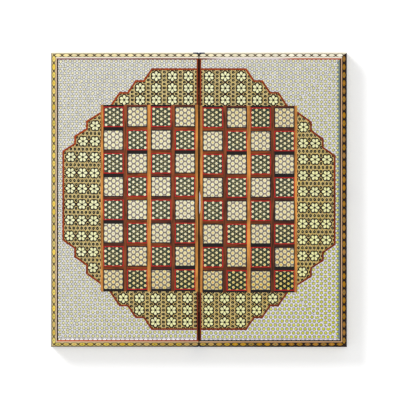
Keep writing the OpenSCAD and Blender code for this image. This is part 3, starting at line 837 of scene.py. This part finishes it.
def ring_unit(centre, cell):
    """A ring of gold kites round a dark heart, edged with rosewood."""
    shapes = [(cell(), "rosewood")]
    shapes += [(kite, "gold") for kite in kites(centre, cell(0.9))]
    return shapes + [(cell(0.71), "heart"), (cell(0.1), "gold")]


# Half of a petal's outline: how far out as a share of its length, and half width as a share of its width
PETAL = ((0.24, 0.13), (0.4, 0.32), (0.56, 0.47), (0.72, 0.5), (0.87, 0.42), (0.96, 0.24))


def flower(centre, upright):
    """Six bone petals on a scalloped ebony ground, round an ebony heart."""
    s = sizes()
    turn = math.pi / 2 if upright else 0
    ground = []
    for i in range(72):
        a = math.tau * i / 72
        r = s.petal_length * (1.17 + 0.08 * math.cos(6 * a))
        ground.append((centre[0] + r * math.cos(a + turn), centre[1] + r * math.sin(a + turn)))
    shapes = [(ground, "ebony")]
    root, tip = (PETAL[0][0], 0), (1.0, 0)
    left = [root, tip, *reversed(PETAL)]
    right = [root, *((out, -off) for out, off in PETAL), tip]
    for k in range(6):
        c, d = math.cos(math.tau * k / 6 + turn), math.sin(math.tau * k / 6 + turn)
        for half in (left, right):
            shapes.append(([(centre[0] + out * s.petal_length * c - off * s.petal_width * d,
                             centre[1] + out * s.petal_length * d + off * s.petal_width * c)
                            for out, off in half], "petal"))
    return shapes + [(round_shape(centre, s.petal_length * 0.2, 12), "ebony")]


def dark_unit(centre, cell):
    """A cream dot in a dark ring on dusk wood, with specks at the corners of the unit."""
    dot = sizes().dark_dot
    corners = cell()
    shapes = [(kite, "dusk") for kite in kites(centre, corners)]
    for i, corner in enumerate(corners):
        before, after = corners[i - 1], corners[(i + 1) % 6]
        shapes.append(([corner, middle(corner, after, 0.26), middle(corner, centre, 0.3),
                        middle(corner, before, 0.26)], "speck"))
    return shapes + [(round_shape(centre, dot * 1.28, 12), "shadow"), (round_shape(centre, dot, 12), "cream"),
                     (round_shape(centre, dot * 0.5, 6), "honey")]


def light_unit(centre, cell):
    """A cream dot with a honey heart on mauve bone, with olive lines round the unit."""
    dot = sizes().light_dot
    shapes = [(cell(), "olive")] + [(kite, "mauve") for kite in kites(centre, cell(0.86))]
    return shapes + [(round_shape(centre, dot, 12), "cream"), (round_shape(centre, dot * 0.52, 8), "honey")]


def rope_shapes(loop, along_up, highlight_prefix):
    """Dark strands that cross between gold or cream eyes, along a band; the cream ones are a painted
    highlight. Only the gold ones have hearts.
    """
    s = sizes()
    place = (lambda a, b: (b, a)) if along_up else (lambda a, b: (a, b))
    along, across = zip(*(place(u, v) for u, v in loop))
    low, high, near, far = min(along), max(along), min(across), max(across)
    axis, wide, pitch = (near + far) / 2, far - near, s.rope_pitch
    shapes = [([place(low, near), place(high, near), place(high, far), place(low, far)], highlight_prefix + "wedge")]
    steps = 16
    for n in range(math.floor(low / pitch) - 1, math.ceil(high / pitch) + 1):
        # A strand is thickest where it crosses the other one
        for grow, kind in ((1, "strand"), (-1, "rope")):
            upper, lower = [], []
            for i in range(steps + 1):
                t = i / steps
                thick = s.rope_strand / 2 * (0.3 + 0.7 * abs(math.cos(math.pi * t)) ** 3)
                bulge = (wide * 0.5 - s.rope_strand * 0.2) * math.sin(math.pi * t) ** 0.8
                half = max(0, bulge + grow * thick)
                if half:
                    upper.append(place((n + t) * pitch, axis + half))
                    lower.append(place((n + t) * pitch, axis - half))
            shapes.append((lower + upper[::-1], highlight_prefix + kind))
        if not highlight_prefix:
            heart, reach, half = (n + 0.5) * pitch, pitch * 0.14, wide * 0.13
            shapes.append(([place(heart - reach, axis), place(heart, axis - half),
                            place(heart + reach, axis), place(heart, axis + half)],
                           "orange" if n % 3 else "green"))
    return shapes


def bevel(edge, top, slope):
    """The height of the bevelled edge over a point of the plan."""
    return lambda u, v: top - (edge - min(HALF_X - abs(u), HALF_Y - abs(v))) * math.tan(slope)


def flat(height):
    return lambda u, v: height


def new_dice(name):
    return random.Random(f"{sizes().seed} {name}")


# Operators

# Where a star lies in each sheet of star khatam, in mm from the board's middle
STARS = {
    "left": {"upper": (-227.2, 113.0), "lower": (-228.8, -107.5),
             "top": (-144.0, 227.4), "foot": (-144.3, -223.8)},
    "right": {"upper": (227.2, 107.2), "lower": (227.2, -106.6),
              "top": (144.0, 234.2), "foot": (140.7, -231.8)},
}


class LayStars(Operator):
    """Lays the star khatam of the corner fields, mitred at the board's corners"""
    bl_idname = "chessboard.lay_stars"
    bl_label = "Lay the star khatam"

    def execute(self, context):
        s = sizes()
        for side in SIDES:
            node = f"{side}_corner_field"
            dice = new_dice(node)
            loops, height = outlines(node, CHESS_FACE)
            us, vs = zip(*loops[0])
            outer, top, foot = max(us, key=abs), max(vs), min(vs)
            # The side sheets meet the end sheets in a mitre from each corner, and each other at its level
            tip = (outer - math.copysign((top - foot) / 2, outer), (top + foot) / 2)
            # The end sheets' zones run on 50 mm past the seam
            far = -math.copysign(0.05, outer)
            zones = {"upper": [(outer, top), (outer, tip[1]), tip],
                     "lower": [(outer, foot), (outer, tip[1]), tip],
                     "top": [(outer, top), tip, (far, tip[1]), (far, top)],
                     "foot": [(outer, foot), tip, (far, tip[1]), (far, foot)]}
            parts = []
            for name, zone in zones.items():
                upright = name in ("upper", "lower")
                origin = tuple(c / 1000 for c in STARS[side][name])
                for loop in zone_loops(loops[0], zone):
                    shapes = []
                    for centre, cell in lattice(loop, s.star_pitch, s.star_row, origin, upright):
                        # A unit that the border cuts by more than half is made up with plain bone
                        starred = foot < centre[1] < top and abs(centre[0]) < abs(outer)
                        shapes += star_unit(centre, cell, starred)
                    if upright and side == "right":
                        shapes = [(shape, self.rod_beside(outer, shape, kind)) for shape, kind in shapes]
                    parts.append(cut(loop, shapes, dice))
            lay(f"{side}_star_khatam", node, parts, CHESS_FACE, flat(height))
        return {"FINISHED"}

    def rod_beside(self, line, shape, kind):
        """The last 3 mm of bone beside the line are blue."""
        off = line - sum(u for u, _ in shape) / len(shape)
        return "sky" if kind == "bone" and off < 0.003 else kind


# Where a flower lies in each sheet of flower khatam, how far its rows of flowers are apart, both in mm, and
# how far the sheet is turned clockwise, in degrees
FLOWERS = {
    "left": {"side": (-197.2, 18.8, 26.7, 0.9),
             "top": (-17.9, 208.9, 27.1, 0), "foot": (-19.4, -206.6, 27.1, 0)},
    "right": {"side": (195.8, 13.8, 27.2, 0.5),
              "top": (17.3, 208.6, 27.1, 0), "foot": (16.3, -207.0, 27.1, 0)},
}


class LayFlowers(Operator):
    """Lays the flower khatam of the medallion"""
    bl_idname = "chessboard.lay_flowers"
    bl_label = "Lay the flower khatam"

    def execute(self, context):
        for side in SIDES:
            for suffix in ("side_medallion", "end_medallions"):
                node = f"{side}_{suffix}"
                dice = new_dice(node)
                loops, height = outlines(node, CHESS_FACE)
                parts = []
                for loop in loops:
                    end = "top" if sum(v for _, v in loop) > 0 else "foot"
                    spot = "side" if suffix == "side_medallion" else end
                    shapes = self.shapes(loop, spot == "side", *FLOWERS[side][spot])
                    parts.append(cut(loop, shapes, dice))
                lay(f"{side}_{suffix}_khatam", node, parts, CHESS_FACE, flat(height))
        return {"FINISHED"}

    def shapes(self, loop, at_side, x, y, gap, turn):
        """Rings all over the sheet, and a flower every three rings across and four rows up, wherever most of
        it fits."""
        s = sizes()
        origin = (x / 1000, y / 1000)
        # The sheet is laid out square, on the outline turned back
        square_on = turned(loop, origin, math.radians(turn))
        across, up = 3 * s.ring_pitch, gap / 1000
        shapes, blooms = [], []
        for centre, cell in lattice(square_on, s.ring_pitch, up / 4, origin, not at_side):
            shapes += ring_unit(centre, cell)
        # Twelve flowers each way are more than any sheet holds
        for a in range(-12, 13):
            for b in range(-12, 13):
                step = (across * a, up * b) if at_side else (up * a, across * b)
                centre = (origin[0] + step[0], origin[1] + step[1])
                if fits(centre, square_on, s.petal_length * 0.8):
                    blooms += flower(centre, not at_side)
        return [(turned(shape, origin, -math.radians(turn)), kind) for shape, kind in shapes + blooms]


class LaySquares(Operator):
    """Lays the dotted khatam of the chess squares"""
    bl_idname = "chessboard.lay_squares"
    bl_label = "Lay the chess squares"

    def execute(self, context):
        s = sizes()
        looks = (("dark_squares", dark_unit, s.dark_pitch, s.dark_column),
                 ("light_squares", light_unit, s.light_pitch, s.light_column))
        for side in SIDES:
            for suffix, unit, pitch, column in looks:
                node = f"{side}_{suffix}"
                dice = new_dice(node)
                loops, height = outlines(node, CHESS_FACE)
                require(len(loops) == 16, f"{node} has {len(loops)} squares, not 16")
                parts = []
                for loop in sorted(loops):
                    us, vs = zip(*loop)
                    # Every square is cut with a column of dots within 0.7 mm of its own middle
                    off_centre, start_at = dice.uniform(-0.0007, 0.0007), dice.uniform(0, pitch)
                    origin = (sum(us) / 4 + off_centre, sum(vs) / 4 + start_at)
                    shapes = []
                    for centre, cell in lattice(loop, pitch, column, origin, True):
                        laid = unit(centre, cell)
                        if not fits(centre, loop, pitch / 2):
                            # The outermost dots of the dark squares have green corners
                            laid = [(shape, "green" if kind == "speck" else kind) for shape, kind in laid]
                        shapes += laid
                    parts.append(cut(loop, shapes, dice))
                lay(f"{side}_{suffix}_khatam", node, parts, CHESS_FACE, flat(height), fade=square_painted_light)
        return {"FINISHED"}


class LayRope(Operator):
    """Lays the rope banding on the bevelled edge"""
    bl_idname = "chessboard.lay_rope"
    bl_label = "Lay the rope banding"

    def execute(self, context):
        for side in SIDES:
            node = f"{side}_rope_banding"
            dice = new_dice(node)
            loops, top = outlines(node, CHESS_FACE)
            outer = next(loop for loop in loops if self.is_side(loop))
            # The bevel rises inwards from the lip to the level of the veneers
            rise = bevel(HALF_X - min(abs(u) for u, _ in outer), top, math.radians(15))
            parts = []
            for loop in loops:
                at_side = self.is_side(loop)
                # Along the top the band takes the cream rods, a painted highlight where its bevel faces the
                # light
                highlight_prefix = "" if at_side or loop[0][1] < 0 else "cream_"
                parts.append(cut(loop, rope_shapes(loop, at_side, highlight_prefix), dice))
            lay(f"{side}_rope_khatam", node, parts, CHESS_FACE, rise, fade=rope_painted_light)
        return {"FINISHED"}

    def is_side(self, loop):
        us, vs = zip(*loop)
        return max(vs) - min(vs) > max(us) - min(us)


class WrapSides(Operator):
    """Wraps the outer walls in star khatam between dark and pale lines"""
    bl_idname = "chessboard.wrap_sides"
    bl_label = "Wrap the side banding"

    def execute(self, context):
        s = sizes()
        for side in SIDES:
            node = f"{side}_side_banding"
            dice = new_dice(node)
            walls = {"outer": WALLS["outer"][side], "top": WALLS["top"], "bottom": WALLS["bottom"]}
            for wall, plane in walls.items():
                loops, height = outlines(node, plane)
                parts = []
                for loop in loops:
                    us, vs = zip(*loop)
                    left, right, low, high = min(us), max(us), min(vs), max(vs)
                    shapes = []
                    origin = (0, (low + high) / 2)
                    for centre, cell in lattice(loop, s.star_pitch, s.star_row, origin, False):
                        shapes += star_unit(centre, cell)
                    # Lines along both edges, from and to in mm from the edge
                    for a, b, kind in ((0, 2.2, "strand"), (2.2, 3.4, "honey"), (3.4, 4.2, "strand")):
                        for v, w in ((low + a / 1000, low + b / 1000), (high - b / 1000, high - a / 1000)):
                            shapes.append(([(left, v), (right, v), (right, w), (left, w)], kind))
                    parts.append(cut(loop, shapes, dice))
                ends = self.mitred_back(loops, wall)
                lay(f"{side}_{wall}_banding", node, parts, plane, flat(height), ends)
        return {"FINISHED"}

    def mitred_back(self, loops, wall):
        """Where the back of a wall's banding ends: a veneer's thickness short of each mitred corner."""
        us = [u for loop in loops for u, _ in loop]
        thick = sizes().veneer
        low, high = min(us), max(us)
        if wall == "outer":
            return (low + thick, high - thick)
        return (low, high - thick) if abs(high) > abs(low) else (low + thick, high)


def dress(node, material):
    """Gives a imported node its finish."""
    data = frame["nodes"][node].data
    data.materials.clear()
    data.materials.append(material)


def dress_both(suffix, material):
    for side in SIDES:
        dress(f"{side}_{suffix}", material)


# Each wooden piece of both halves: its material's name and colour, which way the grain runs, how dark the
# late wood is, the width and the length of a streak in mm, how dark the pores are, the roughness, how dark
# the lower right is beside the upper left as painted shade and light, and what has worn it or painted light
# or shade on it
WOODWORK = {
    "orange_strips": ("Orange wood strip", "orange", "y", 0.5, 3.6, 45, 0.3, 0.4, 1.0, seam_shade_and_glint),
    "brown_strips": ("Brown wood strip", "brown", "y", 0.32, 3.6, 40, 0.4, 0.4, 0.55, None),
    "cross_strips_brown": ("Brown cross wood", "cross_brown", "x", 0.4, 3.2, 30, 0.4, 0.4, 0.6, None),
    "cross_strips_dark": ("Dark cross wood", "cross_dark", "x", 0.4, 3.2, 30, 0.4, 0.4, 0.6, None),
    "cross_strips_black": ("Black cross wood", "cross_black", "x", 0.6, 2.2, 40, 0.2, 0.4, 1.0, None),
    "red_frames": ("Red-stained stringing", "red", "y", 0.75, 1.5, 30, 0.15, 0.4, 1.0, None),
    "black_frames": ("Black-stained stringing", "black", "y", 0.75, 1.5, 30, 0.1, 0.4, 1.0, None),
    "medallion_stringing": ("Redwood stringing", "redwood", "y", 0.6, 3.0, 30, 0.25, 0.4, 0.75, painted_shade_seam),
    "pale_stringing": ("Pale stringing", "pale", "border", 0.8, 1.2, 50, 0.15, 0.4, 1.0,
                       lamplit_border("pale_bleached")),
    "inner_line": ("Pieced line", "line", "border", 0.6, 1.4, 60, 0.2, 0.4, 1.0, pieced_line),
    "outer_rail": ("Walnut rail", "case", "y", 0.45, 5.0, 110, 0.5, 0.5, 1.0, rubbed_wood),
    "hinge_rail": ("Walnut rail", "case", "y", 0.45, 5.0, 110, 0.5, 0.5, 1.0, rubbed_wood),
    "end_rails": ("Walnut end rail", "case", "x", 0.45, 5.0, 110, 0.5, 0.5, 1.0, rubbed_wood),
    "panel": ("Beech panel", "panel", "y", 0.7, 7.0, 120, 0.3, 0.55, 1.0, None),
    "edge_lipping": ("Worn edge lipping", "lipping", "border", 0.5, 2.0, 80, 0.4, 0.45, 1.0,
                     lamplit_border("lipping_bleached")),
    "playing_field": ("Walnut field veneer", "field", "y", 0.6, 9.0, 160, 0.45, 0.5, 1.0, None),
    "light_points": ("Maple point", "light_point", "y", 0.8, 5.0, 120, 0.2, 0.5, 1.0, None),
    "dark_points": ("Ebonised point", "dark_point", "y", 0.6, 5.0, 120, 0.3, 0.5, 1.0, None),
}


def varnish_both(*suffixes):
    """Varnishes these pieces of both halves. Pieces of one wood share its material."""
    for suffix in suffixes:
        name, wood, *look = WOODWORK[suffix]
        material = bpy.data.materials.get(name) or varnished_wood(name, getattr(woods(), wood), *look)
        dress_both(suffix, material)


class FinishStrips(Operator):
    """Varnishes the long strips and the cross strips of the chess grid"""
    bl_idname = "chessboard.finish_strips"
    bl_label = "Finish the strips"

    def execute(self, context):
        varnish_both("orange_strips", "brown_strips", "cross_strips_brown", "cross_strips_dark",
                     "cross_strips_black")
        return {"FINISHED"}


class FinishStringing(Operator):
    """Varnishes the stringing round the squares, the medallion and the border"""
    bl_idname = "chessboard.finish_stringing"
    bl_label = "Finish the stringing"

    def execute(self, context):
        varnish_both("red_frames", "black_frames", "medallion_stringing", "pale_stringing", "inner_line")
        return {"FINISHED"}


class FinishCase(Operator):
    """Varnishes the rails, the panel and the edge moulding"""
    bl_idname = "chessboard.finish_case"
    bl_label = "Finish the case"

    def execute(self, context):
        varnish_both("outer_rail", "hinge_rail", "end_rails", "panel", "edge_lipping")
        return {"FINISHED"}


class FinishTrays(Operator):
    """Varnishes the backgammon field inside the trays"""
    bl_idname = "chessboard.finish_trays"
    bl_label = "Finish the trays"

    def execute(self, context):
        varnish_both("playing_field", "light_points", "dark_points")
        return {"FINISHED"}


class FinishMetal(Operator):
    """Tarnishes the end plates, hinges, screws and catch"""
    bl_idname = "chessboard.finish_metal"
    bl_label = "Finish the metal"

    def execute(self, context):
        m = context.scene.metal_colours
        brass = tarnished_metal("Tarnished brass", m.brass, m.brass_dulled)
        screw = tarnished_metal("Turned brass screw", m.screw, m.screw_dulled, roughness=0.32)
        steel = tarnished_metal("Blued steel plate", m.steel, m.steel_dulled, roughness=0.42,
                                brushed=(0.2, 1.0, 1.0))
        wire = tarnished_metal("Drawn steel wire", m.wire, m.wire_dulled, roughness=0.35,
                               brushed=(1.0, 0.1, 1.0))
        dress_both("end_plates", steel)
        dress_both("hinge_leaves", brass)
        dress_both("screws", screw)
        dress("hinge_pins", wire)
        for node in ("catch_hook", "catch_screw", "catch_peg"):
            dress(node, brass)
        return {"FINISHED"}


class SetStage(Operator):
    """Sets the floor, the light and the camera"""
    bl_idname = "chessboard.set_stage"
    bl_label = "Set the stage"

    def execute(self, context):
        scene = context.scene
        settings = scene.stage_settings
        scene.view_settings.view_transform = "Standard"
        self.floor(scene, settings)
        self.light(scene, settings)
        self.camera(scene, settings)
        return {"FINISHED"}

    def floor(self, scene, settings):
        """A round sheet of white paper, 8 m across, which glows a little where it's seen, and is painted dark
        under the seam.
        """
        material, tree, place = start("White paper floor")
        path = add(tree, "ShaderNodeLightPath")
        seen = add(tree, "ShaderNodeMath", [path.outputs["Is Camera Ray"], path.outputs["Is Glossy Ray"]],
                   operation="MAXIMUM")
        seen = add(tree, "ShaderNodeMath", [seen, path.outputs["Is Transmission Ray"]], operation="MAXIMUM")
        # Painted shade: 1.2 mm either side of the seam's middle the paper is coloured dark and doesn't glow
        size = add(tree, "ShaderNodeVectorMath", [place], operation="ABSOLUTE")
        parts = add(tree, "ShaderNodeSeparateXYZ", [size])
        beside = add(tree, "ShaderNodeMath", [parts.outputs["X"], 0.0012], operation="GREATER_THAN")
        beyond = add(tree, "ShaderNodeMath", [parts.outputs["Y"], HALF_Y], operation="GREATER_THAN")
        clear = add(tree, "ShaderNodeMath", [beside, beyond], operation="MAXIMUM")
        tint = add(tree, "ShaderNodeMix", [clear, settings.gap, settings.paper], data_type="RGBA")
        paper = add(tree, "ShaderNodeBsdfDiffuse", {"Color": tint})
        glow = add(tree, "ShaderNodeMath", [clear, settings.glow], operation="MULTIPLY")
        glow = add(tree, "ShaderNodeEmission", {"Color": (1, 1, 1), "Strength": glow})
        lit = add(tree, "ShaderNodeAddShader", [paper, glow])
        shown = add(tree, "ShaderNodeMixShader", [seen, paper, lit])
        add(tree, "ShaderNodeOutputMaterial", {"Surface": shown})
        angles = [math.tau * i / 64 for i in range(64)]
        mesh = bpy.data.meshes.new("Studio floor")
        mesh.from_pydata([(4 * math.cos(a), 4 * math.sin(a), 0) for a in angles], [], [list(range(64))])
        mesh.materials.append(material)
        floor = bpy.data.objects.new("Studio_floor", mesh)
        scene.collection.objects.link(floor)

    def light(self, scene, settings):
        """Even light all round, and one soft lamp at the upper left."""
        world = bpy.data.worlds.new("Soft studio")
        world.use_nodes = True
        tree = world.node_tree
        tree.nodes.clear()
        even = add(tree, "ShaderNodeBackground", {"Color": (1, 1, 1), "Strength": settings.sky})
        add(tree, "ShaderNodeOutputWorld", {"Surface": even})
        scene.world = world
        data = bpy.data.lights.new("Window_light", "AREA")
        data.shape = "DISK"
        data.size = 2.4
        data.energy = settings.key
        lamp = bpy.data.objects.new("Window_light", data)
        lamp.location = (-3.4, 3.4, 3.0)
        lamp.rotation_euler = (-lamp.location).to_track_quat("-Z", "Y").to_euler()
        scene.collection.objects.link(lamp)

    def camera(self, scene, settings):
        """Straight above the board, far enough for the photo's almost flat perspective."""
        data = bpy.data.cameras.new("Camera_above")
        data.sensor_width = 36
        data.lens = data.sensor_width * settings.camera_height / settings.frame_width
        data.clip_end = 30
        camera = bpy.data.objects.new("Camera_above", data)
        camera.location = (settings.off_x, -settings.off_y, TOP + settings.camera_height)
        scene.collection.objects.link(camera)
        scene.camera = camera


class ChessboardPanel(Panel):
    """Lists the chessboard's steps, sizes and colours"""
    bl_idname = "VIEW3D_PT_chessboard"
    bl_label = "Khatam chessboard"
    bl_space_type = "VIEW_3D"
    bl_region_type = "UI"
    bl_category = "Chessboard"

    def draw(self, context):
        for step in STEPS:
            self.layout.operator(step.bl_idname)
        for group_name in GROUPS:
            group = getattr(context.scene, group_name)
            box = self.layout.box()
            for name in group.bl_rna.properties.keys():
                if name not in ("rna_type", "name"):
                    box.prop(group, name)


STEPS = (LayStars, LayFlowers, LaySquares, LayRope, WrapSides, FinishStrips, FinishStringing, FinishCase,
         FinishTrays, FinishMetal, SetStage)
GROUPS = {"inlay_sizes": InlaySizes, "inlay_colours": InlayColours, "wood_colours": WoodColours,
          "metal_colours": MetalColours, "stage_settings": StageSettings}


def register():
    for cls in (*GROUPS.values(), *STEPS, ChessboardPanel):
        bpy.utils.register_class(cls)
    for name, cls in GROUPS.items():
        setattr(bpy.types.Scene, name, PointerProperty(type=cls))


def unregister():
    for name in GROUPS:
        delattr(bpy.types.Scene, name)
    for cls in (ChessboardPanel, *reversed(STEPS), *reversed(GROUPS.values())):
        bpy.utils.unregister_class(cls)


def main():
    register()
    for step in STEPS:
        group, name = step.bl_idname.split(".")
        getattr(getattr(bpy.ops, group), name)()


if __name__ == "__main__":
    main()
